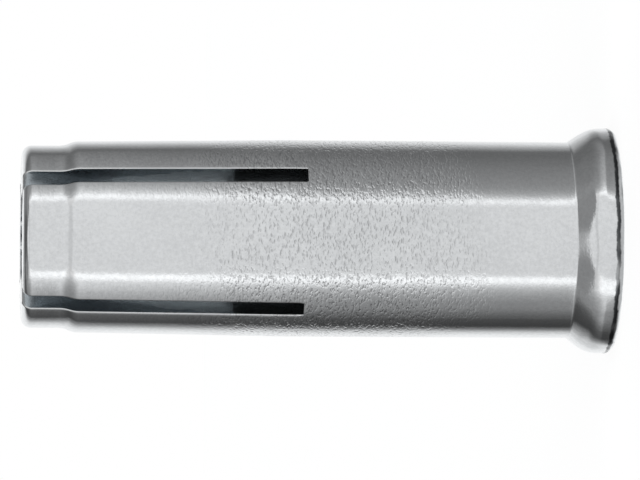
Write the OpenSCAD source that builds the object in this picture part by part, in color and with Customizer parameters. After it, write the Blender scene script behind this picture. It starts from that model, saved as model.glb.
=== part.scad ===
// Drop-in anchor: a slotted steel sleeve with an inside thread, and the expansion plug that waits
// behind the thread until it is driven towards the tip.
// The anchor stands on its rim, with the mouth of the thread down and the slotted tip up.
// Millimetres, +Z from the rim to the tip, origin at the centre of the rim's end face.

/* [Sleeve] */
// Length of the sleeve, from the rim's end face to the tip
sleeve_length = 30; // [28:0.5:40]
// Diameter of the plain shank, for a drilled hole of 10 mm
shank_d = 9.95; // [9.6:0.05:12]

/* [Rim] */
// How far the rim stands out from the shank all round
rim_overhang = 0.74; // [0.5:0.02:0.9]
// Height of the rim's straight side, from the end face to the flare
rim_land = 0.77; // [0.6:0.01:2]
// Slope of the flare to the axis, in degrees
flare_angle = 33; // [25:1:42]
// Rounding between the rim's straight side and the flare
crown_r = 1.4; // [0.5:0.05:2.4]
// Rounding between the flare and the shank
root_r = 0.22; // [0.1:0.02:0.8]
// Rounding of the rim's outer edge at the end face
rim_edge_r = 0.35; // [0.05:0.05:0.5]

/* [Tip] */
// How far the slotted fingers lean in by the time they reach the shoulder
finger_lean = 0.15; // [0:0.01:0.3]
// How far the tip is stepped down below the fingers
tip_step = 0.22; // [0.1:0.02:0.6]
// Length of the stepped-down tip, from the end to the shoulder
tip_length = 2.1; // [1:0.1:4]
// Length of the sloping shoulder behind the tip
shoulder_length = 0.42; // [0.1:0.02:1]
// Rounding of the tip's outer edge
tip_edge_r = 0.5; // [0.1:0.05:0.8]

/* [Slots] */
// Angle between the two saw cuts, each of which makes two slots across from each other
saw_angle = 86; // [80:1:100]
// Width of each slot
slot_w = 0.85; // [0.5:0.05:1.4]
// Length of the second cut's slots on the outside of the sleeve
slot_length = 14.1; // [10:0.1:17]
// How much longer the first cut's slots are
slot_stagger = 0.16; // [0:0.02:0.4]
// Diameter of the saw blade, which leaves the slot's floor slightly hollow
saw_d = 40; // [30:1:80]

/* [Bore] */
// Diameter at the crests of the inside thread, which is M8
thread_d = 6.8; // [6.2:0.05:7.2]
// Depth of the thread below the rim's end face
thread_depth = 13; // [9:0.5:15]
// Countersink at the mouth, as deep as it is wide
mouth_chamfer = 0.8; // [0.2:0.05:1]
// How much the plug's bore is stepped in from the thread's crests
plug_step = 0.25; // [0.2:0.05:0.5]
// Diameter of the narrowing bore where it leaves the tip
tip_bore_d = 4.4; // [3.4:0.1:5]

/* [Expansion plug] */
// Length of the plug's straight body
plug_body_length = 4.1; // [2.5:0.1:5]
// Length of the plug's tapered nose
plug_nose_length = 2.2; // [1:0.1:4]
// Chamfer at both ends of the plug
plug_chamfer = 0.3; // [0.1:0.05:0.6]
// Free depth between the thread's run-out and the plug
plug_gap = 0.15; // [0.05:0.05:0.5]
// Clearance between the plug and its bore, on the radius
plug_clearance = 0.03; // [0.01:0.01:0.05]

/* [Hidden] */
$fn = 128;
// Overrun of a cut past the face that it opens
cut = 1;

// Outside of the sleeve
shank_r = shank_d / 2;
rim_r = shank_r + rim_overhang;
finger_r = shank_r - finger_lean;
tip_r = finger_r - tip_step;
slot_z = sleeve_length - slot_length;
hinge_z = slot_z + slot_w;
tip_z = sleeve_length - tip_length;
shoulder_z = tip_z - shoulder_length;

// The flare is a cone between two roundings that run straight into the rim and the shank
flare_rise = 1 - cos(flare_angle);
crown_end_r = rim_r - crown_r * flare_rise;
crown_end_z = rim_land + crown_r * sin(flare_angle);
root_end_r = shank_r + root_r * flare_rise;
root_end_z = crown_end_z + (crown_end_r - root_end_r) / tan(flare_angle);
flare_z = root_end_z + root_r * sin(flare_angle);

// Inside of the sleeve, stacked up from the mouth
thread_r = thread_d / 2;
plug_bore_r = thread_r - plug_step;
tip_bore_r = tip_bore_d / 2;
plug_bore_z = thread_depth + plug_step;
plug_z = plug_bore_z + plug_gap;
taper_z = plug_z + plug_body_length;
taper_slope = (plug_bore_r - tip_bore_r) / (sleeve_length - taper_z);

// Expansion plug
plug_r = plug_bore_r - plug_clearance;
plug_end_z = taper_z + plug_nose_length;
plug_end_r = plug_r - taper_slope * plug_nose_length;

// The cuts lie on both sides of the YZ plane, so that a finger faces along -Y
first_cut = -90 + saw_angle / 2;
second_cut = -90 - saw_angle / 2;

// Half section of the rim and the flare above it
module rim_outline() {
    difference() {
        square([rim_r, rim_land]);
        translate([rim_r - rim_edge_r, 0]) difference() {
            translate([0, -cut]) square([rim_edge_r + cut, rim_edge_r + cut]);
            translate([0, rim_edge_r]) circle(rim_edge_r);
        }
    }
    intersection() {
        translate([rim_r - crown_r, rim_land]) circle(crown_r);
        translate([0, rim_land]) square([rim_r, crown_end_z - rim_land]);
    }
    polygon([[0, crown_end_z], [crown_end_r, crown_end_z], [root_end_r, root_end_z], [0, root_end_z]]);
    difference() {
        translate([0, root_end_z]) square([root_end_r, flare_z - root_end_z]);
        translate([shank_r + root_r, flare_z]) circle(root_r);
    }
    square([rim_r - crown_r, flare_z]);
}

// Half section of the shank, the leaning fingers and the stepped-down tip, as if it were solid
module shank_outline() {
    difference() {
        polygon([
            [0, 0],
            [shank_r, 0],
            [shank_r, hinge_z],
            [finger_r, shoulder_z],
            [tip_r, tip_z],
            [tip_r, sleeve_length],
            [0, sleeve_length],
        ]);
        translate([tip_r - tip_edge_r, sleeve_length - tip_edge_r]) difference() {
            square(tip_edge_r + cut);
            circle(tip_edge_r);
        }
    }
}

// Half section of the space inside: mouth, thread, plug bore and narrowing bore
module bore_outline() {
    polygon([
        [0, -cut],
        [thread_r + mouth_chamfer + cut, -cut],
        [thread_r, mouth_chamfer],
        [thread_r, thread_depth],
        [plug_bore_r, plug_bore_z],
        [plug_bore_r, taper_z],
        [tip_bore_r - taper_slope * cut, sleeve_length + cut],
        [0, sleeve_length + cut],
    ]);
}

// Two slots across from each other, cut by a round saw blade that comes in from the tip
module saw_cut(length) {
    saw_r = saw_d / 2;
    blade_z = sleeve_length - length + sqrt(saw_r * saw_r - shank_r * shank_r);
    rotate([90, 0, 0]) linear_extrude(slot_w, center = true) intersection() {
        translate([0, blade_z]) circle(saw_r);
        translate([-rim_r, 0]) square([2 * rim_r, sleeve_length + cut]);
    }
}

module sleeve() {
    color([0.76, 0.77, 0.79]) difference() {
        rotate_extrude() difference() {
            union() {
                rim_outline();
                shank_outline();
            }
            bore_outline();
        }
        rotate([0, 0, first_cut]) saw_cut(slot_length + slot_stagger);
        rotate([0, 0, second_cut]) saw_cut(slot_length);
    }
}

module expansion_plug() {
    color([0.55, 0.56, 0.58]) rotate_extrude() polygon([
        [0, plug_z],
        [plug_r - plug_chamfer, plug_z],
        [plug_r, plug_z + plug_chamfer],
        [plug_r, taper_z],
        [plug_end_r + taper_slope * plug_chamfer, plug_end_z - plug_chamfer],
        [plug_end_r - plug_chamfer, plug_end_z],
        [0, plug_end_z],
    ]);
}

sleeve();
expansion_plug();
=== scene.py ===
"""Drop-in anchor: the dressed sleeve and expansion plug, with the studio around them.

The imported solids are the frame. Both are replaced by meshes of the same form that add what the solids
leave out: the turns of the inside thread, broken edges along the slots, and the uneven skin of a
cold-formed, zinc plated sleeve. Meshes are modelled in millimetres and brought to metres at the end.
"""

from __future__ import annotations

import logging
import math
from collections.abc import Callable, Sequence
from dataclasses import dataclass
from enum import Enum

import bmesh
import bpy
from mathutils import Matrix, Vector

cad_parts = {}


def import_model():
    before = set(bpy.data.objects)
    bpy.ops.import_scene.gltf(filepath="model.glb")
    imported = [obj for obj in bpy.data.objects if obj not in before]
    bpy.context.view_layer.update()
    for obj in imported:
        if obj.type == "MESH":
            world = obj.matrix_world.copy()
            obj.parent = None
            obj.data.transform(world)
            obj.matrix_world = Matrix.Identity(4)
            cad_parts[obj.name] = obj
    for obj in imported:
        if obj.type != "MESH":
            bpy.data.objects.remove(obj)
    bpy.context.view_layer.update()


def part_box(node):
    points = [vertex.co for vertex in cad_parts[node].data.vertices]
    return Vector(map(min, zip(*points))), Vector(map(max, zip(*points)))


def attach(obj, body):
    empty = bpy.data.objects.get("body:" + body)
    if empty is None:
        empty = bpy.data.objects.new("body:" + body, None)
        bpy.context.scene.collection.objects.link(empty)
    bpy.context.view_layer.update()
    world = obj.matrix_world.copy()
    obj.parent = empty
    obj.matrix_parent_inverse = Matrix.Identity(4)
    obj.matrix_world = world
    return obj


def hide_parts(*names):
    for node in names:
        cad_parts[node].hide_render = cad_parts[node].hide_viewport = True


LOG = logging.getLogger("anchor")

MM = 0.001
SMOOTH_DEG = 28.0
ROOT_BODY = "root"

Point = tuple[float, float]
Span = tuple[float, float, float, float]
Colour = tuple[float, float, float, float]


class Skin(Enum):
    """The finishes of the sleeve, in the order of its material slots."""

    OUTSIDE = 0
    SAWN = 1
    THREAD = 2
    EDGE = 3


# Modelling operators


def arc(centre: Point, radius: float, start: float, end: float, steps: int) -> list[Point]:
    """Points along an arc of a half section.

    Args:
        centre: Radius and height of the arc's centre, in millimetres.
        radius: Radius of the arc, in millimetres.
        start: Angle of the first point, in degrees from the outward direction.
        end: Angle of the last point, in degrees.
        steps: Number of stretches between the two.

    Returns:
        The points in order, both ends among them.
    """
    angles = [math.radians(start + (end - start) * i / steps) for i in range(steps + 1)]
    return [(centre[0] + radius * math.cos(a), centre[1] + radius * math.sin(a)) for a in angles]


def stretch(start: Point, end: Point, longest: float) -> list[Point]:
    """Points along a straight stretch of a half section, its last end left out.

    Args:
        start: First point, in millimetres.
        end: The end that the next stretch begins with.
        longest: Greatest distance between two points.

    Returns:
        The first point and those between the ends.
    """
    steps = max(1, math.ceil(math.dist(start, end) / longest))
    return [
        (start[0] + (end[0] - start[0]) * i / steps, start[1] + (end[1] - start[1]) * i / steps)
        for i in range(steps)
    ]


def fillet(before: Point, corner: Point, after: Point, reach: float, steps: int) -> list[Point]:
    """Points of a soft corner of a half section.

    Args:
        before: A point on the stretch that leads to the corner.
        corner: The sharp corner, in millimetres.
        after: A point on the stretch that leaves it.
        reach: How far from the corner the rounding starts and ends.
        steps: Number of stretches.

    Returns:
        The points in order, both ends of the rounding among them.
    """
    middle = Vector(corner)
    start = middle + (Vector(before) - middle).normalized() * reach
    end = middle + (Vector(after) - middle).normalized() * reach
    shares = [i / steps for i in range(steps + 1)]
    return [tuple(start * (1 - s) ** 2 + middle * (2 * s * (1 - s)) + end * s**2) for s in shares]


def edit(piece: bpy.types.Object) -> None:
    """Makes a piece the only selected object and opens it in edit mode."""
    bpy.ops.object.select_all(action="DESELECT")
    piece.select_set(True)
    bpy.context.view_layer.objects.active = piece
    bpy.ops.object.mode_set(mode="EDIT")


def leave_edit() -> None:
    """Goes back to object mode."""
    bpy.ops.object.mode_set(mode="OBJECT")


def draw_section(name: str, outline: Sequence[Point], closed: bool) -> bpy.types.Object:
    """Draws a half section in the XZ plane, vertex by vertex, and leaves it open in edit mode.

    Args:
        name: Name of the new object.
        outline: Radius and height of each point, in millimetres.
        closed: Whether the last point is joined to the first.

    Returns:
        The object, with the whole outline selected.
    """
    bpy.ops.object.select_all(action="DESELECT")
    bpy.ops.mesh.primitive_plane_add(size=1.0, location=(0.0, 0.0, 0.0))
    piece = bpy.context.active_object
    piece.name = piece.data.name = name
    bpy.ops.object.mode_set(mode="EDIT")
    bpy.ops.mesh.select_mode(type="VERT")
    bpy.ops.mesh.select_all(action="SELECT")
    bpy.ops.mesh.merge(type="CENTER")
    bpy.ops.transform.translate(value=(outline[0][0], 0.0, outline[0][1]))
    for before, after in zip(outline, outline[1:]):
        step = (after[0] - before[0], 0.0, after[1] - before[1])
        bpy.ops.mesh.extrude_region_move(TRANSFORM_OT_translate={"value": step})
    if closed:
        mesh = bmesh.from_edit_mesh(piece.data)
        ends = [vert for vert in mesh.verts if len(vert.link_edges) == 1]
        for vert in mesh.verts:
            vert.select_set(vert in ends)
        mesh.select_flush_mode()
        bmesh.update_edit_mesh(piece.data)
        bpy.ops.mesh.edge_face_add()
    bpy.ops.mesh.select_all(action="SELECT")
    return piece


def close_turn() -> None:
    """Merges the seam and the poles of a finished spin, and points its faces outwards."""
    bpy.ops.mesh.select_all(action="SELECT")
    bpy.ops.mesh.remove_doubles(threshold=0.0005)
    bpy.ops.mesh.normals_make_consistent(inside=False)
    leave_edit()


def spin_section(name: str, outline: Sequence[Point], closed: bool, steps: int) -> bpy.types.Object:
    """Draws a half section and turns it once around the Z axis in equal steps.

    Args:
        name: Name of the new object.
        outline: Radius and height of each point, in millimetres.
        closed: Whether the section is a closed loop, as for a tube.
        steps: Number of steps in the turn.

    Returns:
        The closed body, in object mode.
    """
    piece = draw_section(name, outline, closed)
    bpy.ops.mesh.spin(steps=steps, angle=math.tau, center=(0.0, 0.0, 0.0), axis=(0.0, 0.0, 1.0))
    close_turn()
    return piece


def apply_modifier(piece: bpy.types.Object, modifier: bpy.types.Modifier) -> None:
    """Applies one modifier to a piece."""
    bpy.ops.object.select_all(action="DESELECT")
    piece.select_set(True)
    bpy.context.view_layer.objects.active = piece
    bpy.ops.object.modifier_apply(modifier=modifier.name)


def combine(piece: bpy.types.Object, tool: bpy.types.Object, operation: str) -> None:
    """Cuts a piece with a tool, or keeps what they share, and deletes the tool.

    Args:
        piece: The piece that changes.
        tool: A closed body. The faces that it cuts take its material.
        operation: DIFFERENCE or INTERSECT.
    """
    modifier = piece.modifiers.new(tool.name, "BOOLEAN")
    modifier.operation = operation
    modifier.solver = "EXACT"
    modifier.material_mode = "TRANSFER"
    modifier.object = tool
    apply_modifier(piece, modifier)
    bpy.data.objects.remove(tool, do_unlink=True)


def select_edges(piece: bpy.types.Object, wanted: Callable[[bmesh.types.BMEdge], bool]) -> int:
    """Selects the edges of the piece in edit mode that pass a test, and nothing else.

    Args:
        piece: The piece that is open in edit mode.
        wanted: The test of one edge.

    Returns:
        The number of edges selected.
    """
    bpy.ops.mesh.select_mode(type="EDGE")
    bpy.ops.mesh.select_all(action="DESELECT")
    mesh = bmesh.from_edit_mesh(piece.data)
    mesh.normal_update()
    chosen = [edge for edge in mesh.edges if wanted(edge)]
    for edge in chosen:
        edge.select_set(True)
    bmesh.update_edit_mesh(piece.data)
    return len(chosen)


def radius_of(point: Vector) -> float:
    """Distance of a point from the anchor's axis."""
    return math.hypot(point.x, point.y)


def to_metres(piece: bpy.types.Object) -> None:
    """Brings a finished piece from millimetres to metres, and shades it smooth but for its corners."""
    bpy.ops.object.select_all(action="DESELECT")
    piece.select_set(True)
    bpy.context.view_layer.objects.active = piece
    piece.scale = (MM, MM, MM)
    bpy.ops.object.transform_apply(location=True, rotation=True, scale=True)
    bpy.ops.object.shade_smooth_by_angle(angle=math.radians(SMOOTH_DEG))


# Node helpers


@dataclass
class Wiring:
    """A node tree with short calls for adding and joining nodes."""

    tree: bpy.types.NodeTree

    def add(self, kind: str, **settings: object) -> bpy.types.Node:
        """Adds a node and sets its properties.

        Args:
            kind: The node's type name.
            **settings: Properties of the node.

        Returns:
            The new node.
        """
        node = self.tree.nodes.new(kind)
        for name, value in settings.items():
            setattr(node, name, value)
        return node

    def join(self, source: bpy.types.NodeSocket, target: bpy.types.NodeSocket) -> None:
        """Links one output to one input."""
        self.tree.links.new(source, target)

    def put(self, value: object, target: bpy.types.NodeSocket) -> None:
        """Feeds an input from a socket, or sets it to a constant."""
        if isinstance(value, bpy.types.NodeSocket):
            self.join(value, target)
        else:
            target.default_value = value

    def math(self, operation: str, *values: object, clamp: bool = False) -> bpy.types.NodeSocket:
        """Adds a math node.

        Args:
            operation: The node's operation.
            *values: Sockets or numbers, one for each input.
            clamp: Whether the result stays between 0 and 1.

        Returns:
            The node's result.
        """
        node = self.add("ShaderNodeMath", operation=operation, use_clamp=clamp)
        for value, target in zip(values, node.inputs):
            self.put(value, target)
        return node.outputs[0]

    def remap(self, value: bpy.types.NodeSocket, low: object, high: object,
              to_low: float = 0.0, to_high: float = 1.0) -> bpy.types.NodeSocket:
        """Maps a range smoothly onto another, clamped at both ends.

        Args:
            value: The socket to map.
            low: Number or socket that gives to_low.
            high: Number or socket that gives to_high.
            to_low: Result at low and below.
            to_high: Result at high and above.

        Returns:
            The mapped value.
        """
        node = self.add("ShaderNodeMapRange", interpolation_type="SMOOTHSTEP")
        for value_in, target in zip((value, low, high, to_low, to_high), node.inputs):
            self.put(value_in, target)
        return node.outputs["Result"]

    def ramp(self, angle: bpy.types.NodeSocket, span_deg: Point,
             to_low: float = 0.0, to_high: float = 1.0) -> bpy.types.NodeSocket:
        """Maps a span of an angle, given in degrees, smoothly onto another range."""
        return self.remap(angle, math.radians(span_deg[0]), math.radians(span_deg[1]), to_low, to_high)

    def window(self, angle: bpy.types.NodeSocket, span_deg: Span) -> bpy.types.NodeSocket:
        """A share that rises between the first two angles of a span and falls between the last two."""
        start, full, fading, end = span_deg
        return self.math("MULTIPLY", self.ramp(angle, (start, full)), self.ramp(angle, (end, fading)))

    def noise(self, vector: bpy.types.NodeSocket, scale: object, detail: float,
              roughness: float = 0.5) -> bpy.types.NodeSocket:
        """Adds a noise texture and returns its value between about 0 and 1.

        Args:
            vector: Where the noise is read.
            scale: Number of features in a unit of length.
            detail: Number of finer layers.
            roughness: Weight of the finer layers.

        Returns:
            The noise's value.
        """
        node = self.add("ShaderNodeTexNoise")
        self.join(vector, node.inputs["Vector"])
        self.put(scale, node.inputs["Scale"])
        node.inputs["Detail"].default_value = detail
        node.inputs["Roughness"].default_value = roughness
        return node.outputs["Fac"]

    def axes(self, place: bpy.types.NodeSocket) -> bpy.types.Node:
        """Splits a place into X, Y and Z."""
        node = self.add("ShaderNodeSeparateXYZ")
        self.join(place, node.inputs[0])
        return node

    def stretched(self, vector: bpy.types.NodeSocket,
                  scale: tuple[float, float, float]) -> bpy.types.NodeSocket:
        """Scales a coordinate by a different amount along each axis."""
        node = self.add("ShaderNodeVectorMath", operation="MULTIPLY")
        self.join(vector, node.inputs[0])
        node.inputs[1].default_value = scale
        return node.outputs[0]

    def scaled(self, colour: object, gain: bpy.types.NodeSocket) -> bpy.types.NodeSocket:
        """Multiplies a colour, or three plain levels, by a number."""
        node = self.add("ShaderNodeVectorMath", operation="SCALE")
        self.put(colour, node.inputs[0])
        self.join(gain, node.inputs["Scale"])
        return node.outputs[0]

    def mix_colour(self, share: bpy.types.NodeSocket, first: object,
                   second: object) -> bpy.types.NodeSocket:
        """Mixes two colours.

        Args:
            share: Share of the second colour.
            first: Socket or colour at a share of 0.
            second: Socket or colour at a share of 1.

        Returns:
            The mixed colour.
        """
        node = self.add("ShaderNodeMix", data_type="RGBA")
        self.join(share, node.inputs["Factor"])
        colours = [socket for socket in node.inputs if socket.type == "RGBA"]
        self.put(first, colours[0])
        self.put(second, colours[1])
        return next(socket for socket in node.outputs if socket.type == "RGBA")


def new_group(name: str, inputs: dict[str, tuple[str, object]],
              outputs: dict[str, str]) -> tuple[Wiring, dict, dict]:
    """Starts a shader node group.

    Args:
        name: Name of the group.
        inputs: Socket type and default of each input, by name.
        outputs: Socket type of each output, by name.

    Returns:
        The group's wiring, its input sockets and its output sockets, both by name.
    """
    tree = bpy.data.node_groups.new(name, "ShaderNodeTree")
    for label, (kind, value) in inputs.items():
        socket = tree.interface.new_socket(name=label, in_out="INPUT", socket_type=kind)
        if value is not None:
            socket.default_value = value
    for label, kind in outputs.items():
        tree.interface.new_socket(name=label, in_out="OUTPUT", socket_type=kind)
    wiring = Wiring(tree)
    begin = wiring.add("NodeGroupInput")
    end = wiring.add("NodeGroupOutput")
    return (wiring, {label: begin.outputs[label] for label in inputs},
            {label: end.inputs[label] for label in outputs})


@dataclass(frozen=True)
class FormingMarks:
    """The skin of cold-formed steel: strokes around the axis, dents and fine grain, in features per metre."""

    ragged: float = 260.0
    ragged_mm: float = 6.0
    stray: float = 0.05
    strokes: float = 4200.0
    stroke_squeeze: tuple[float, float, float] = (1.0, 1.0, 2.1)
    stroke_cut: Point = (0.465, 0.76)
    dents: float = 1700.0
    dent_squeeze: tuple[float, float, float] = (1.0, 1.0, 1.6)
    dent_cut: Point = (0.35, 0.75)
    dent_share: float = 0.34
    grain: float = 9000.0

    def group(self) -> bpy.types.NodeTree:
        """Builds the group.

        Returns:
            A group that reads a place and puts out a height and the share of painted shade in the pitting,
            both about 0 to 1.
        """
        wiring, given, result = new_group(
            "forming_marks",
            {"Place": ("NodeSocketVector", None), "Marks": ("NodeSocketFloat", 1.0),
             "Zone Low": ("NodeSocketFloat", 0.0), "Zone High": ("NodeSocketFloat", 1.0),
             "Fade": ("NodeSocketFloat", 0.003), "Grain": ("NodeSocketFloat", 0.2)},
            {"Height": "NodeSocketFloat", "Pit Shade": "NodeSocketFloat"})
        place = given["Place"]
        zone = wiring.math("MULTIPLY_ADD", self.zone(wiring, given), 1.0 - self.stray, self.stray)
        shown = wiring.math("MULTIPLY", given["Marks"], zone)
        strokes = wiring.noise(wiring.stretched(place, self.stroke_squeeze), self.strokes, 1.5, 0.55)
        dents = wiring.noise(wiring.stretched(place, self.dent_squeeze), self.dents, 2.0)
        # The pitting both sinks the surface and sets the share of painted shade.
        pit_depth_and_shade = wiring.math("MULTIPLY", wiring.remap(strokes, *self.stroke_cut), shown)
        dented = wiring.math("MULTIPLY", wiring.remap(dents, *self.dent_cut),
                             wiring.math("MULTIPLY", shown, self.dent_share))
        grain = wiring.math("MULTIPLY", wiring.noise(place, self.grain, 3.0, 0.6), given["Grain"])
        wiring.join(wiring.math("SUBTRACT", grain, wiring.math("ADD", pit_depth_and_shade, dented)), result["Height"])
        wiring.join(pit_depth_and_shade, result["Pit Shade"])
        return wiring.tree

    def zone(self, wiring: Wiring, given: dict[str, bpy.types.NodeSocket]) -> bpy.types.NodeSocket:
        """Marks off the stretch along the axis that has the marks, with ragged ends.

        Args:
            wiring: The group's wiring.
            given: The group's inputs.

        Returns:
            The share of the zone, from 0 to 1.
        """
        ragged = wiring.noise(given["Place"], self.ragged, 2.0)
        shift = wiring.math("MULTIPLY_ADD", ragged, self.ragged_mm * MM, -self.ragged_mm * MM / 2)
        height = wiring.math("ADD", wiring.axes(given["Place"]).outputs["Z"], shift)
        above_low, above_high = (
            wiring.remap(height, wiring.math("SUBTRACT", given[edge], given["Fade"]),
                         wiring.math("ADD", given[edge], given["Fade"]))
            for edge in ("Zone Low", "Zone High"))
        return wiring.math("MULTIPLY", above_low, wiring.math("SUBTRACT", 1.0, above_high))


@dataclass(frozen=True)
class ToneDrift:
    """The slow drift of tone and the fine mottle of a plated surface, in features per metre."""

    slow: float = 190.0
    fine: float = 5200.0
    contrast: float = 1.5

    def group(self) -> bpy.types.NodeTree:
        """Builds the group.

        Returns:
            A group that reads a place and puts out a share from 0 to 1.
        """
        wiring, given, result = new_group(
            "tone_drift",
            {"Place": ("NodeSocketVector", None), "Mottle": ("NodeSocketFloat", 0.4)},
            {"Share": "NodeSocketFloat"})
        slow = wiring.noise(given["Place"], self.slow, 2.0)
        fine = wiring.noise(given["Place"], self.fine, 4.0, 0.65)
        spread = wiring.math("MULTIPLY_ADD", wiring.math("SUBTRACT", fine, 0.5), given["Mottle"],
                             wiring.math("SUBTRACT", slow, 0.5))
        share = wiring.math("MULTIPLY_ADD", spread, self.contrast, 0.5, clamp=True)
        wiring.join(share, result["Share"])
        return wiring.tree


def tool_lines_group() -> bpy.types.NodeTree:
    """Builds the fine lines that a cutting tool leaves around the axis.

    Returns:
        A group that reads a place and puts out a height from 0 to 1.
    """
    wiring, given, result = new_group(
        "tool_lines",
        {"Place": ("NodeSocketVector", None), "Lines": ("NodeSocketFloat", 9000.0)},
        {"Height": "NodeSocketFloat"})
    axes = wiring.axes(given["Place"])
    flat = wiring.add("ShaderNodeCombineXYZ")
    for name in "XY":
        wiring.join(axes.outputs[name], flat.inputs[name])
    from_axis = wiring.add("ShaderNodeVectorMath", operation="LENGTH")
    wiring.join(flat.outputs[0], from_axis.inputs[0])
    along = wiring.math("ADD", from_axis.outputs["Value"], axes.outputs["Z"])
    line_place = wiring.add("ShaderNodeCombineXYZ")
    wiring.join(along, line_place.inputs["Z"])
    wiring.join(wiring.noise(line_place.outputs[0], given["Lines"], 2.0, 0.6), result["Height"])
    return wiring.tree


# Finishes


@dataclass(frozen=True)
class Finish:
    """A metal surface: two tones that drift into each other, gloss and relief."""

    name: str
    light: Colour
    dark: Colour
    roughness: tuple[float, float]
    mottle: float
    bump_mm: float

    def start(self, tone: bpy.types.NodeTree) -> tuple[
            bpy.types.Material, Wiring, bpy.types.NodeSocket, bpy.types.Node]:
        """Starts the material with its tone and gloss.

        Args:
            tone: The shared group that drifts the tone.

        Returns:
            The material, its wiring, the place on the surface and the shader node.
        """
        material = bpy.data.materials.new(self.name)
        material.use_nodes = True
        wiring = Wiring(material.node_tree)
        shader = material.node_tree.nodes["Principled BSDF"]
        shader.inputs["Metallic"].default_value = 1.0
        place = wiring.add("ShaderNodeTexCoord").outputs["Object"]
        drift = wiring.add("ShaderNodeGroup", node_tree=tone)
        wiring.join(place, drift.inputs["Place"])
        drift.inputs["Mottle"].default_value = self.mottle
        share = drift.outputs["Share"]
        glossy, dull = self.roughness
        wiring.join(wiring.mix_colour(share, self.dark, self.light), shader.inputs["Base Color"])
        wiring.join(wiring.remap(share, 0.0, 1.0, dull, glossy), shader.inputs["Roughness"])
        return material, wiring, place, shader

    def relief(self, wiring: Wiring, height: bpy.types.NodeSocket, shader: bpy.types.Node) -> None:
        """Feeds a height from 0 to 1 to the shader as bump of this finish's depth."""
        bump = wiring.add("ShaderNodeBump")
        bump.inputs["Distance"].default_value = self.bump_mm * MM
        bump.inputs["Strength"].default_value = 1.0
        wiring.join(height, bump.inputs["Height"])
        wiring.join(bump.outputs["Normal"], shader.inputs["Normal"])


@dataclass(frozen=True)
class FormedFinish(Finish):
    """Zinc plated skin with forming marks in a zone along the axis, painted shade in their pitting, and a
    ragged band of painted shade at the rim's edge.
    """

    marks: float = 1.0
    zone_mm: tuple[float, float] = (8.6, 20.5)
    fade_mm: float = 2.8
    grain: float = 0.2
    # Colour of the painted shade in the pitting.
    pit_shade: Colour = (0.63, 0.635, 0.645, 1.0)
    # Colour and place of the painted shade band at the rim's edge.
    edge_shade: Colour = (0.10, 0.105, 0.11, 1.0)
    edge_shade_mm: tuple[float, float] = (0.22, 0.42)
    edge_shade_ragged_mm: float = 0.32
    edge_shade_soft_mm: float = 0.04
    edge_shade_faint: float = 0.35

    def material(self, tone: bpy.types.NodeTree, marks: bpy.types.NodeTree) -> bpy.types.Material:
        """Builds the material.

        Args:
            tone: The shared group that drifts the tone.
            marks: The shared group of forming marks.

        Returns:
            The material.
        """
        material, wiring, place, shader = self.start(tone)
        skin = wiring.add("ShaderNodeGroup", node_tree=marks)
        wiring.join(place, skin.inputs["Place"])
        skin.inputs["Marks"].default_value = self.marks
        skin.inputs["Zone Low"].default_value = self.zone_mm[0] * MM
        skin.inputs["Zone High"].default_value = self.zone_mm[1] * MM
        skin.inputs["Fade"].default_value = self.fade_mm * MM
        skin.inputs["Grain"].default_value = self.grain
        plain = shader.inputs["Base Color"].links[0].from_socket
        # Painted shade darkens the pitting.
        pit_shaded = wiring.mix_colour(skin.outputs["Pit Shade"], plain, self.pit_shade)
        # A ragged band of painted shade darkens the rim's edge.
        edge_shaded = wiring.mix_colour(self.painted_edge_shade(wiring, place), pit_shaded, self.edge_shade)
        wiring.join(edge_shaded, shader.inputs["Base Color"])
        self.relief(wiring, skin.outputs["Height"], shader)
        return material

    def painted_edge_shade(self, wiring: Wiring, place: bpy.types.NodeSocket) -> bpy.types.NodeSocket:
        """Draws a ragged, patchy band of painted shade around the rim's edge.

        Args:
            wiring: The material's wiring.
            place: The place on the surface.

        Returns:
            The share of the painted shade, from 0 to 1.
        """
        ragged = wiring.noise(place, 1500.0, 3.0, 0.6)
        shift = wiring.math("MULTIPLY_ADD", ragged, self.edge_shade_ragged_mm * MM, -self.edge_shade_ragged_mm * MM / 2)
        height = wiring.math("ADD", wiring.axes(place).outputs["Z"], shift)
        low, high = (edge * MM for edge in self.edge_shade_mm)
        soft = self.edge_shade_soft_mm * MM
        edge_shade = wiring.math("MULTIPLY", wiring.remap(height, low - soft, low + soft),
                           wiring.remap(height, high + soft, high - soft))
        patchy = wiring.remap(wiring.noise(place, 420.0, 2.0), 0.28, 0.48, self.edge_shade_faint, 1.0)
        return wiring.math("MULTIPLY", edge_shade, patchy)


@dataclass(frozen=True)
class CutFinish(Finish):
    """Metal with the fine lines of a cutting tool."""

    lines_per_mm: float = 9.0

    def material(self, tone: bpy.types.NodeTree, lines: bpy.types.NodeTree) -> bpy.types.Material:
        """Builds the material.

        Args:
            tone: The shared group that drifts the tone.
            lines: The shared group of tool lines.

        Returns:
            The material.
        """
        material, wiring, place, shader = self.start(tone)
        tool = wiring.add("ShaderNodeGroup", node_tree=lines)
        wiring.join(place, tool.inputs["Place"])
        tool.inputs["Lines"].default_value = self.lines_per_mm / MM
        self.relief(wiring, tool.outputs["Height"], shader)
        return material


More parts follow.
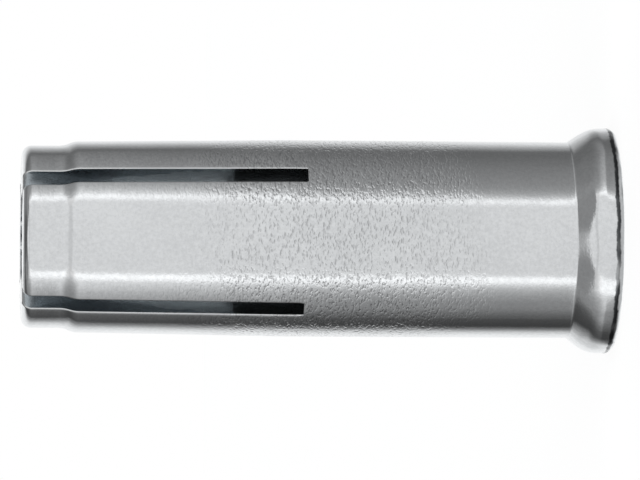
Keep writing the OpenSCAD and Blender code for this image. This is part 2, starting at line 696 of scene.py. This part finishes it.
@dataclass(frozen=True)
class SawnFinish(CutFinish):
    """The walls of the slots, with painted light and shade: the sawn tone on the inner part of each wall,
    painted shade on the outer part and towards the tip, and a darker painted shade at the closed end.
    """

    # Colour of the painted shade on the slot walls.
    shade: Colour = (0.60, 0.63, 0.65, 1.0)
    # Colour of the darker painted shade at the slots' closed end.
    closed_end_shade: Colour = (0.46, 0.475, 0.48, 1.0)
    closed_mm: float = 19.4
    closed_fade_mm: float = 0.06
    open_mm: float = 26.0
    open_fade_mm: float = 1.5
    deep_mm: tuple[float, float] = (4.85, 4.15)
    deep_fade_mm: tuple[float, float] = (-0.08, 0.10)
    streak_mm: float = 1.0

    def material(self, tone: bpy.types.NodeTree, lines: bpy.types.NodeTree) -> bpy.types.Material:
        """Builds the material.

        Args:
            tone: The shared group that drifts the tone.
            lines: The shared group of tool lines.

        Returns:
            The material.
        """
        material = super().material(tone, lines)
        wiring = Wiring(material.node_tree)
        shader = material.node_tree.nodes["Principled BSDF"]
        place = wiring.add("ShaderNodeTexCoord").outputs["Object"]
        axes = wiring.axes(place)
        height = axes.outputs["Z"]
        # Painted light and shade: inside a radius that shrinks towards the tip, with a ragged edge, the wall
        # keeps its sawn tone; outside it and near the tip it takes painted shade.
        streaks = wiring.noise(wiring.stretched(place, (1.0, 1.0, 0.35)), 3200.0, 4.0, 0.65)
        limit = wiring.remap(height, self.closed_mm * MM, self.open_mm * MM,
                             self.deep_mm[0] * MM, self.deep_mm[1] * MM)
        squares = [wiring.math("MULTIPLY", axes.outputs[name], axes.outputs[name]) for name in "XY"]
        inward = wiring.math("SUBTRACT", limit, wiring.math("SQRT", wiring.math("ADD", *squares)))
        shift = wiring.math("MULTIPLY_ADD", streaks, self.streak_mm * MM, -self.streak_mm * MM / 2)
        inward = wiring.math("ADD", inward, shift)
        lit = wiring.math("MULTIPLY", wiring.remap(inward, *(edge * MM for edge in self.deep_fade_mm)),
                          wiring.remap(height, (self.open_mm + self.open_fade_mm) * MM,
                                       (self.open_mm - self.open_fade_mm) * MM))
        # This mix lays painted shade over the sawn tone, which stands as painted light.
        plated = wiring.mix_colour(lit, self.shade, shader.inputs["Base Color"].links[0].from_socket)
        # Below the closed end the walls take the darker painted shade.
        opened = wiring.remap(height, (self.closed_mm - self.closed_fade_mm) * MM,
                              (self.closed_mm + self.closed_fade_mm) * MM)
        wiring.join(wiring.mix_colour(opened, self.closed_end_shade, plated), shader.inputs["Base Color"])
        return material


ZINC_SKIN = FormedFinish(
    name="zinc_skin", light=(0.87, 0.88, 0.89, 1.0), dark=(0.77, 0.78, 0.79, 1.0),
    roughness=(0.07, 0.12), mottle=2.2, bump_mm=0.0118)
SAWN_FACE = SawnFinish(
    name="sawn_face", light=(0.94, 0.96, 0.97, 1.0), dark=(0.84, 0.865, 0.88, 1.0),
    roughness=(0.16, 0.26), mottle=0.5, bump_mm=0.004, lines_per_mm=9.0)
THREAD_FACE = CutFinish(
    name="thread_face", light=(0.70, 0.71, 0.73, 1.0), dark=(0.56, 0.57, 0.59, 1.0),
    roughness=(0.22, 0.34), mottle=0.4, bump_mm=0.003, lines_per_mm=7.0)
WORN_EDGE = FormedFinish(
    name="worn_edge", light=(0.90, 0.905, 0.91, 1.0), dark=(0.82, 0.83, 0.84, 1.0),
    roughness=(0.24, 0.32), mottle=0.3, bump_mm=0.004)
PLUG_STEEL = CutFinish(
    name="plug_steel", light=(0.40, 0.405, 0.415, 1.0), dark=(0.28, 0.285, 0.295, 1.0),
    roughness=(0.24, 0.34), mottle=0.4, bump_mm=0.004, lines_per_mm=6.0)


@dataclass(frozen=True)
class FinishSet:
    """All the materials of the anchor."""

    sleeve: dict[Skin, bpy.types.Material]
    plug: bpy.types.Material

    @classmethod
    def build(cls) -> FinishSet:
        """Builds the shared groups once, and every material from them."""
        tone = ToneDrift().group()
        marks = FormingMarks().group()
        lines = tool_lines_group()
        sleeve = {
            Skin.OUTSIDE: ZINC_SKIN.material(tone, marks),
            Skin.SAWN: SAWN_FACE.material(tone, lines),
            Skin.THREAD: THREAD_FACE.material(tone, lines),
            Skin.EDGE: WORN_EDGE.material(tone, marks),
        }
        return cls(sleeve, PLUG_STEEL.material(tone, lines))


# The anchor


@dataclass
class Sleeve:
    """The slotted sleeve. Sizes are in millimetres, and heights are from the rim's end face.

    Each lump has a depth and a width.
    """

    finishes: FinishSet
    length: float
    shank_r: float = 4.975
    rim_overhang: float = 0.74
    rim_land: float = 0.77
    flare_deg: float = 33.0
    flare_bow_deg: float = 3.0
    crown_r: float = 1.4
    root_r: float = 0.22
    rim_edge_r: float = 0.35
    finger_lean: float = 0.15
    tip_step: float = 0.22
    tip_length: float = 2.1
    shoulder_length: float = 0.52
    shoulder_soft: float = 0.27
    tip_edge_r: float = 0.5
    saw_deg: float = 86.0
    slot_w: float = 0.85
    slot_length: float = 14.1
    slot_stagger: float = 0.16
    saw_r: float = 20.0
    thread_r: float = 3.4
    thread_depth: float = 13.0
    mouth_chamfer: float = 0.8
    plug_step: float = 0.25
    plug_gap: float = 0.15
    plug_body_length: float = 4.1
    tip_bore_r: float = 2.2
    thread_root_r: float = 4.02
    pitch: float = 1.25
    tap_overlap: float = 0.15
    lead_length: float = 1.5
    lead_short: float = 0.1
    rim_step: float = 0.15
    ring_step: float = 0.3
    column_deg: float = 1.6
    slot_clear_deg: float = 13.0
    sharp_deg: float = 25.0
    edge_break: float = 0.07
    rim_lump: Point = (0.14, 2.2)
    rim_nick: Point = (0.05, 0.45)
    skin_lump: Point = (0.008, 1.7)
    lump_fade: float = 0.8

    @property
    def slot_z(self) -> float:
        """Height of the closed end of the slots on the outside."""
        return self.length - self.slot_length

    @property
    def plug_bore_r(self) -> float:
        """Radius of the plain bore that holds the plug."""
        return self.thread_r - self.plug_step

    @property
    def taper_z(self) -> float:
        """Height at which the bore starts to narrow."""
        return self.thread_depth + self.plug_step + self.plug_gap + self.plug_body_length

    @property
    def flare_z(self) -> float:
        """Height at which the flare has run into the shank."""
        slope = math.radians(self.flare_deg)
        roundings = self.crown_r + self.root_r
        cone = (self.rim_overhang - roundings * (1 - math.cos(slope))) / math.tan(slope)
        return self.rim_land + roundings * math.sin(slope) + cone

    def rim(self) -> list[Point]:
        """Half section of the rim, from its end face up to the start of the shank."""
        rim_r = self.shank_r + self.rim_overhang
        crown_end = self.flare_deg - self.flare_bow_deg
        root_start = self.flare_deg + self.flare_bow_deg
        crown = arc((rim_r - self.crown_r, self.rim_land), self.crown_r, 0, crown_end, 12)
        root = arc((self.shank_r + self.root_r, self.flare_z), self.root_r, 180 + root_start, 180, 6)
        return [
            *arc((rim_r - self.rim_edge_r, self.rim_edge_r), self.rim_edge_r, -90, 0, 8),
            *stretch((rim_r, self.rim_edge_r + self.rim_step), crown[0], self.rim_step),
            *crown[:-1],
            *self.flare(crown[-1], root[0]),
            *root[:-1],
        ]

    def flare(self, start: Point, end: Point) -> list[Point]:
        """Points of the flare between its two roundings, slightly bowed, its last end left out."""
        first, along = Vector(start), Vector(end) - Vector(start)
        outward = Vector((along.y, -along.x)) * math.radians(self.flare_bow_deg)
        steps = 9
        shares = [i / steps for i in range(steps)]
        return [tuple(first + along * s + outward * (s * (1 - s))) for s in shares]

    def outside(self) -> list[Point]:
        """Half section of the outside, from the mouth's edge to the bore's edge at the tip."""
        finger_r = self.shank_r - self.finger_lean
        tip_r = finger_r - self.tip_step
        tip_z = self.length - self.tip_length
        hinge = (self.shank_r, self.slot_z + self.slot_w)
        shoulder = (finger_r, tip_z - self.shoulder_length)
        step = (tip_r, tip_z)
        nose = arc((tip_r - self.tip_edge_r, self.length - self.tip_edge_r), self.tip_edge_r, 0, 90, 14)
        upper = fillet(hinge, shoulder, step, self.shoulder_soft, 6)
        lower = fillet(shoulder, step, nose[0], self.shoulder_soft, 6)
        return [
            (self.thread_r + self.mouth_chamfer, 0.0),
            *self.rim(),
            *stretch((self.shank_r, self.flare_z), hinge, self.ring_step),
            *stretch(hinge, upper[0], self.ring_step),
            *upper,
            *lower,
            *stretch(lower[-1], nose[0], self.ring_step)[1:],
            *nose,
            (self.tip_bore_r, self.length),
        ]

    def inside(self) -> list[Point]:
        """Half section of the bore, from below the tip's edge to the top of the mouth's countersink."""
        return [
            (self.plug_bore_r, self.taper_z),
            (self.plug_bore_r, self.thread_depth + self.plug_step),
            (self.thread_r, self.thread_depth),
            (self.thread_r, self.mouth_chamfer),
        ]

    def turn(self) -> bpy.types.Object:
        """Turns the section, with a clear band of faces wherever a slot will be cut.

        Returns:
            The closed tube, without slots and thread.
        """
        clear = self.slot_clear_deg
        front = self.saw_deg - clear
        side = 180.0 - self.saw_deg - clear
        piece = draw_section("sleeve_dressed", self.outside() + self.inside(), closed=True)
        for angle in (side / 2, clear, front, clear, side, clear, front, clear, side / 2):
            steps = 2 if angle == clear else math.ceil(angle / self.column_deg)
            bpy.ops.mesh.spin(steps=steps, angle=math.radians(angle),
                              center=(0.0, 0.0, 0.0), axis=(0.0, 0.0, 1.0))
        close_turn()
        for skin in Skin:
            piece.data.materials.append(self.finishes.sleeve[skin])
        return piece

    def saw_slots(self, piece: bpy.types.Object) -> None:
        """Saws the slots, two by two, with a round blade that comes in from the tip."""
        arch = math.sqrt(self.saw_r**2 - self.shank_r**2)
        half = self.saw_deg / 2
        for turn, floor_z in ((half, self.slot_z - self.slot_stagger), (-half, self.slot_z)):
            bpy.ops.object.select_all(action="DESELECT")
            bpy.ops.mesh.primitive_cylinder_add(
                vertices=360, radius=self.saw_r, depth=self.slot_w, location=(0.0, 0.0, floor_z + arch),
                rotation=(math.pi / 2, 0.0, math.radians(turn - 90.0)))
            blade = bpy.context.active_object
            blade.data.materials.append(self.finishes.sleeve[Skin.SAWN])
            combine(piece, blade, "DIFFERENCE")

    def break_edges(self, piece: bpy.types.Object) -> None:
        """Breaks the edges of the slots, the tip and the mouth, as tumbling and plating leave them."""
        end_z = self.length - self.tip_edge_r - 0.01

        def sharp_outside(edge: bmesh.types.BMEdge) -> bool:
            """Whether an edge is a corner that can be reached from outside."""
            if len(edge.link_faces) != 2 or edge.calc_face_angle_signed(0.0) < math.radians(self.sharp_deg):
                return False
            middle = (edge.verts[0].co + edge.verts[1].co) / 2
            across = radius_of(middle)
            run = edge.verts[1].co - edge.verts[0].co
            at_slot = abs(run.z) > 0.9 * run.length and across > self.plug_bore_r + 0.9
            at_end = middle.z > end_z and across > self.tip_bore_r + 0.02
            at_mouth = middle.z < 0.01
            return at_slot or at_end or at_mouth

        edit(piece)
        LOG.info("edges broken: %d", select_edges(piece, sharp_outside))
        bpy.ops.mesh.bevel(offset=self.edge_break, offset_type="OFFSET", segments=3, profile=0.5,
                           affect="EDGES", clamp_overlap=False, material=Skin.EDGE.value)
        leave_edit()

    def tap(self) -> bpy.types.Object:
        """Makes the cutter for the thread: the groove of a tap, with a lead that fades it out.

        Returns:
            A closed body that stands out from the bore by the depth of the thread.
        """
        inner_r = self.thread_r - self.tap_overlap
        half_root = self.pitch / 16
        half_inner = half_root + (self.thread_root_r - inner_r) * math.tan(math.radians(30))
        first_z = -2 * self.pitch
        groove = [
            (inner_r, first_z - half_inner),
            (self.thread_root_r, first_z - half_root),
            (self.thread_root_r, first_z + half_root),
            (inner_r, first_z + half_inner),
        ]
        cutter = draw_section("tap", groove, closed=True)
        leave_edit()
        turns = cutter.modifiers.new("turns", "SCREW")
        turns.axis = "Z"
        turns.screw_offset = self.pitch
        turns.iterations = math.ceil((self.thread_depth - first_z) / self.pitch) + 1
        turns.steps = turns.render_steps = 72
        apply_modifier(cutter, turns)
        edit(cutter)
        bpy.ops.mesh.select_all(action="SELECT")
        bpy.ops.mesh.remove_doubles(threshold=0.0005)
        bpy.ops.mesh.fill_holes(sides=4)
        bpy.ops.mesh.normals_make_consistent(inside=False)
        leave_edit()
        reach = self.thread_root_r + 2 * self.tap_overlap
        lead_end_z = self.thread_depth - self.lead_short
        lead = [
            (0.0, -self.pitch),
            (reach, -self.pitch),
            (reach, lead_end_z - self.lead_length),
            (inner_r, lead_end_z),
            (0.0, lead_end_z),
        ]
        combine(cutter, spin_section("tap_lead", lead, closed=False, steps=96), "INTERSECT")
        cutter.data.materials.clear()
        cutter.data.materials.append(self.finishes.sleeve[Skin.THREAD])
        return cutter

    def press_lumps(self, piece: bpy.types.Object) -> None:
        """Gives the rim and the skin the slight unevenness of cold forming."""
        top, end = self.flare_z, self.length - 1.0
        lumps = (
            ("rim_lumps", self.rim_lump, lambda r, z: r > self.shank_r - 0.05 and 0.1 < z < top),
            ("rim_nicks", self.rim_nick, lambda r, z: r > self.shank_r + 0.3 and 0.01 < z < 0.5),
            ("skin_lumps", self.skin_lump, lambda r, z: r > self.shank_r - 0.4 and top <= z < end),
        )
        for name, (depth, width), inside in lumps:
            group = piece.vertex_groups.new(name=name)
            for vert in piece.data.vertices:
                if inside(radius_of(vert.co), vert.co.z):
                    group.add([vert.index], min(1.0, abs(vert.co.z - top) / self.lump_fade), "REPLACE")
            clouds = bpy.data.textures.new(name, "CLOUDS")
            clouds.noise_scale = width
            clouds.noise_depth = 1
            displace = piece.modifiers.new(name, "DISPLACE")
            displace.texture = clouds
            displace.texture_coords = "LOCAL"
            displace.vertex_group = name
            displace.strength = depth
            displace.mid_level = 0.5
            apply_modifier(piece, displace)

    def build(self) -> bpy.types.Object:
        """Builds the sleeve and puts it in place of the plain one.

        Returns:
            The dressed sleeve.
        """
        piece = self.turn()
        self.saw_slots(piece)
        self.break_edges(piece)
        combine(piece, self.tap(), "DIFFERENCE")
        self.press_lumps(piece)
        to_metres(piece)
        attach(piece, ROOT_BODY)
        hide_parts("sleeve")
        return piece


@dataclass
class ExpansionPlug:
    """The plug that waits behind the thread. Sizes are in millimetres."""

    finishes: FinishSet
    sleeve: Sleeve
    clearance: float = 0.03
    nose_length: float = 2.2
    chamfer: float = 0.3
    edge_break: float = 0.06

    def build(self) -> bpy.types.Object:
        """Builds the plug and puts it in place of the plain one.

        Returns:
            The dressed plug.
        """
        sleeve = self.sleeve
        body_r = sleeve.plug_bore_r - self.clearance
        rear_z = sleeve.taper_z - sleeve.plug_body_length
        nose_z = sleeve.taper_z + self.nose_length
        slope = (sleeve.plug_bore_r - sleeve.tip_bore_r) / (sleeve.length - sleeve.taper_z)
        nose_r = body_r - slope * self.nose_length
        outline = [
            (0.0, rear_z),
            (body_r - self.chamfer, rear_z),
            (body_r, rear_z + self.chamfer),
            (body_r, sleeve.taper_z),
            (nose_r + slope * self.chamfer, nose_z - self.chamfer),
            (nose_r - self.chamfer, nose_z),
            (0.0, nose_z),
        ]
        piece = spin_section("expansion_plug_dressed", outline, closed=False, steps=128)
        piece.data.materials.append(self.finishes.plug)
        edit(piece)
        select_edges(piece, lambda edge: edge.calc_face_angle(0.0) > math.radians(30))
        bpy.ops.mesh.bevel(offset=self.edge_break, segments=3, profile=0.5, affect="EDGES")
        leave_edit()
        to_metres(piece)
        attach(piece, ROOT_BODY)
        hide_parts("expansion_plug")
        return piece


# The studio


@dataclass(frozen=True)
class LightTent:
    """A tent of upright panels around the anchor. Angles are from the camera's side, in degrees."""

    above: tuple[tuple[float, float], ...] = (
        (0, 0.77), (43, 0.78), (46.5, 1.08), (49.5, 1.05), (52.5, 0.66), (57, 0.43), (64, 0.31), (90, 0.22),
        (118, 0.15), (130, 0.15), (142, 0.42), (156, 0.80), (180, 1.0))
    below: tuple[tuple[float, float], ...] = (
        (40, 0.77), (43, 1.2), (47.5, 1.2), (53, 0.72), (59, 0.48), (66, 0.37), (74, 0.29), (86, 0.25),
        (92, 0.18), (98, 0.12), (106, 0.075), (121, 0.05), (129, 0.25), (138, 0.70), (150, 0.93))
    seam_gain: float = 0.84
    front_top_deg: float = 63.3
    corner_drop: float = 0.52
    loft: float = 0.42
    loft_side: float = 0.26
    zenith: float = 0.09
    nadir: float = 0.55
    slant_deg: float = 4.5
    low_front: float = 0.5
    side_gain: float = 1.55
    tint: tuple[float, float, float] = (0.985, 0.995, 1.0)
    front_span: Point = (105, 85)
    slant_span: Point = (-6.3, -0.5)
    side_span: Span = (50, 62, 122, 134)
    lift_span: Span = (-5, 0.5, 1.5, 24)
    low_span: Point = (-4, -36)
    cap_span: Point = (18, 32)
    cap: Point = (1.2, 0.78)
    seam_span: Span = (33, 38, 43, 48)
    seam_front: Point = (58, 44)
    corner_deg: float = 46
    loft_span: Point = (8, 36)
    loft_front: Point = (80, 66)
    loft_back: Point = (120, 150)
    loft_soft: Point = (-0.02, 0.03)
    zenith_span: Point = (66, 78)
    nadir_span: Point = (-34, -60)

    def build(self) -> None:
        """Makes the world: white to the camera, and the tent to everything else."""
        world = bpy.data.worlds.new("light_tent")
        bpy.context.scene.world = world
        world.use_nodes = True
        world.node_tree.nodes.clear()
        wiring = Wiring(world.node_tree)
        axes = wiring.axes(wiring.add("ShaderNodeTexCoord").outputs["Generated"])
        towards_camera = wiring.math("MULTIPLY", axes.outputs["Y"], -1.0)
        angle = wiring.math("ARCTAN2", axes.outputs["X"], towards_camera)
        rise = wiring.math("ARCSINE", axes.outputs["Z"])
        aside = wiring.math("ABSOLUTE", angle)
        in_front = wiring.ramp(aside, self.front_span)
        slant = wiring.ramp(rise, self.slant_span, 0.0, math.radians(self.slant_deg))
        upper = wiring.math("GREATER_THAN", angle, 0.0)
        sheared = wiring.math("SUBTRACT", angle, wiring.math("MULTIPLY", slant, upper))
        share = wiring.math("MULTIPLY_ADD", sheared, 1.0 / math.tau, 0.5)
        panels = wiring.add("ShaderNodeValToRGB")
        wiring.join(share, panels.inputs["Fac"])
        stops = [(0.5 + a / 360, level) for a, level in self.above]
        stops += [(0.5 - a / 360, level) for a, level in self.below]
        stops.append((0.0, self.above[-1][1]))
        ramp = panels.color_ramp.elements
        for _ in range(len(stops) - len(ramp)):
            ramp.new(0.5)
        for element, (position, level) in zip(ramp, sorted(stops)):
            element.position = position
            element.color = (*(level * c for c in self.tint), 1.0)
        tone = self.shape(wiring, panels.outputs["Color"], rise, aside, in_front)
        tent = wiring.add("ShaderNodeBackground")
        wiring.join(tone, tent.inputs["Color"])
        white = wiring.add("ShaderNodeBackground")
        white.inputs["Color"].default_value = (1.0, 1.0, 1.0, 1.0)
        choice = wiring.add("ShaderNodeMixShader")
        wiring.join(wiring.add("ShaderNodeLightPath").outputs["Is Camera Ray"], choice.inputs[0])
        wiring.join(tent.outputs[0], choice.inputs[1])
        wiring.join(white.outputs[0], choice.inputs[2])
        wiring.join(choice.outputs[0], wiring.add("ShaderNodeOutputWorld").inputs["Surface"])

    def shape(self, wiring: Wiring, tone: bpy.types.NodeSocket, rise: bpy.types.NodeSocket,
              aside: bpy.types.NodeSocket, in_front: bpy.types.NodeSocket) -> bpy.types.NodeSocket:
        """Gives the panels their upper and lower ends.

        Args:
            wiring: The world's wiring.
            tone: The panels' tone around the anchor.
            rise: Angle above the level, in radians.
            aside: Angle from the camera's side, in radians.
            in_front: Share of the camera's half.

        Returns:
            The finished tone.
        """
        def level(value: float) -> Colour:
            """A grey of the tent's tint."""
            return (*(value * c for c in self.tint), 1.0)

        def times(share: bpy.types.NodeSocket, gain: float) -> bpy.types.NodeSocket:
            """A factor that goes from 1 to the gain with the share."""
            return wiring.math("MULTIPLY_ADD", share, gain - 1.0, 1.0)

        lifted = wiring.math("MULTIPLY", wiring.window(aside, self.side_span),
                             wiring.window(rise, self.lift_span))
        low = wiring.math("MULTIPLY", wiring.ramp(rise, self.low_span), in_front)
        tone = wiring.scaled(tone, times(lifted, self.side_gain))
        tone = wiring.scaled(tone, times(low, self.low_front))
        capped = wiring.math("MULTIPLY", wiring.ramp(rise, self.cap_span), in_front)
        peak = wiring.add("ShaderNodeVectorMath", operation="MINIMUM")
        wiring.join(tone, peak.inputs[0])
        ceiling = wiring.math("MULTIPLY_ADD", capped, self.cap[1] - self.cap[0], self.cap[0])
        wiring.join(ceiling, peak.inputs[1])
        seam = wiring.math("MULTIPLY", wiring.window(rise, self.seam_span),
                           wiring.ramp(aside, self.seam_front))
        tone = wiring.scaled(peak.outputs[0], times(seam, self.seam_gain))
        near = wiring.math("MINIMUM", aside, math.radians(self.corner_deg))
        top = wiring.math("MULTIPLY_ADD", wiring.math("MULTIPLY", near, near), self.corner_drop, rise)
        edge = math.radians(self.front_top_deg)
        past = wiring.remap(top, edge + self.loft_soft[0], edge + self.loft_soft[1])
        covered = wiring.math("MAXIMUM", wiring.ramp(aside, self.loft_front),
                              wiring.ramp(aside, self.loft_back))
        loft = wiring.scaled(self.tint, wiring.ramp(aside, self.loft_span, self.loft, self.loft_side))
        tone = wiring.mix_colour(wiring.math("MULTIPLY", past, covered), tone, loft)
        tone = wiring.mix_colour(wiring.ramp(rise, self.zenith_span), tone, level(self.zenith))
        return wiring.mix_colour(wiring.ramp(rise, self.nadir_span), tone, level(self.nadir))


@dataclass(frozen=True)
class Floor:
    """A pale round floor that shows the anchor's shadow and runs into the white behind it."""

    radius: float = 0.4
    paper: float = 0.32
    glow: float = 0.872

    def build(self) -> bpy.types.Object:
        """Lays the floor under the anchor.

        Returns:
            The floor.
        """
        bpy.ops.object.select_all(action="DESELECT")
        bpy.ops.mesh.primitive_circle_add(vertices=96, radius=self.radius, fill_type="NGON")
        floor = bpy.context.active_object
        floor.name = "floor"
        floor.visible_glossy = False
        material = bpy.data.materials.new("pale_floor")
        material.use_nodes = True
        material.node_tree.nodes.clear()
        wiring = Wiring(material.node_tree)
        paper = wiring.add("ShaderNodeBsdfDiffuse")
        paper.inputs["Color"].default_value = (self.paper, self.paper, self.paper, 1.0)
        glow = wiring.add("ShaderNodeEmission")
        glow.inputs["Color"].default_value = (1.0, 1.0, 1.0, 1.0)
        seen = wiring.add("ShaderNodeLightPath").outputs["Is Camera Ray"]
        wiring.join(wiring.math("MULTIPLY", seen, self.glow), glow.inputs["Strength"])
        both = wiring.add("ShaderNodeAddShader")
        wiring.join(paper.outputs[0], both.inputs[0])
        wiring.join(glow.outputs[0], both.inputs[1])
        one_sided = wiring.add("ShaderNodeMixShader")
        wiring.join(wiring.add("ShaderNodeNewGeometry").outputs["Backfacing"], one_sided.inputs[0])
        wiring.join(both.outputs[0], one_sided.inputs[1])
        wiring.join(wiring.add("ShaderNodeBsdfTransparent").outputs[0], one_sided.inputs[2])
        wiring.join(one_sided.outputs[0], wiring.add("ShaderNodeOutputMaterial").inputs["Surface"])
        floor.data.materials.append(material)
        return floor


@dataclass(frozen=True)
class PhotoCamera:
    """The photograph's view: the anchor lies across the picture, tip left, seen a little from the tip."""

    distance_mm: float = 289.0
    from_tip_deg: float = 4.15
    turn_deg: float = 2.9
    roll_deg: float = 0.38
    focal_px: float = 5700.0
    image_px: tuple[int, int] = (640, 480)
    anchor_px: tuple[float, float] = (317.4, 238.5)
    sensor_mm: float = 36.0

    def build(self, target: Vector) -> bpy.types.Object:
        """Places the camera.

        Args:
            target: Middle of the anchor, in metres.

        Returns:
            The camera.
        """
        data = bpy.data.cameras.new("photo_camera")
        camera = bpy.data.objects.new("photo_camera", data)
        bpy.context.scene.collection.objects.link(camera)
        data.sensor_width = self.sensor_mm
        data.lens = self.focal_px / self.image_px[0] * self.sensor_mm
        data.clip_start = 0.01
        rise, turn = math.radians(self.from_tip_deg), math.radians(self.turn_deg)
        back = Vector((math.cos(rise) * math.sin(turn), -math.cos(rise) * math.cos(turn), math.sin(rise)))
        up = Vector((math.cos(turn), math.sin(turn), 0.0))
        up = Matrix.Rotation(math.radians(self.roll_deg), 3, back) @ up
        right = up.cross(back)
        mm_per_px = self.distance_mm / self.focal_px
        aside = right * (self.image_px[0] / 2 - self.anchor_px[0])
        aside += up * (self.anchor_px[1] - self.image_px[1] / 2)
        place = target + (back * self.distance_mm + aside * mm_per_px) * MM
        turned = Matrix((right, up, back)).transposed().to_4x4()
        camera.matrix_world = Matrix.Translation(place) @ turned
        bpy.context.scene.camera = camera
        return camera


def main() -> None:
    """Loads the frame, builds the anchor on it and sets up the studio."""
    logging.basicConfig(level=logging.INFO, format="%(name)s: %(message)s")
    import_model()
    low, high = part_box("sleeve")
    finishes = FinishSet.build()
    sleeve = Sleeve(finishes, length=(high[2] - low[2]) / MM)
    plug = ExpansionPlug(finishes, sleeve)
    for piece in (sleeve.build(), plug.build()):
        LOG.info("%s: %d faces", piece.name, len(piece.data.polygons))
    Floor().build()
    LightTent().build()
    PhotoCamera().build(Vector((0.0, 0.0, (low[2] + high[2]) / 2)))
    bpy.context.scene.view_settings.view_transform = "Standard"
    bpy.context.scene.cycles.glossy_bounces = 10


if __name__ == "__main__":
    main()
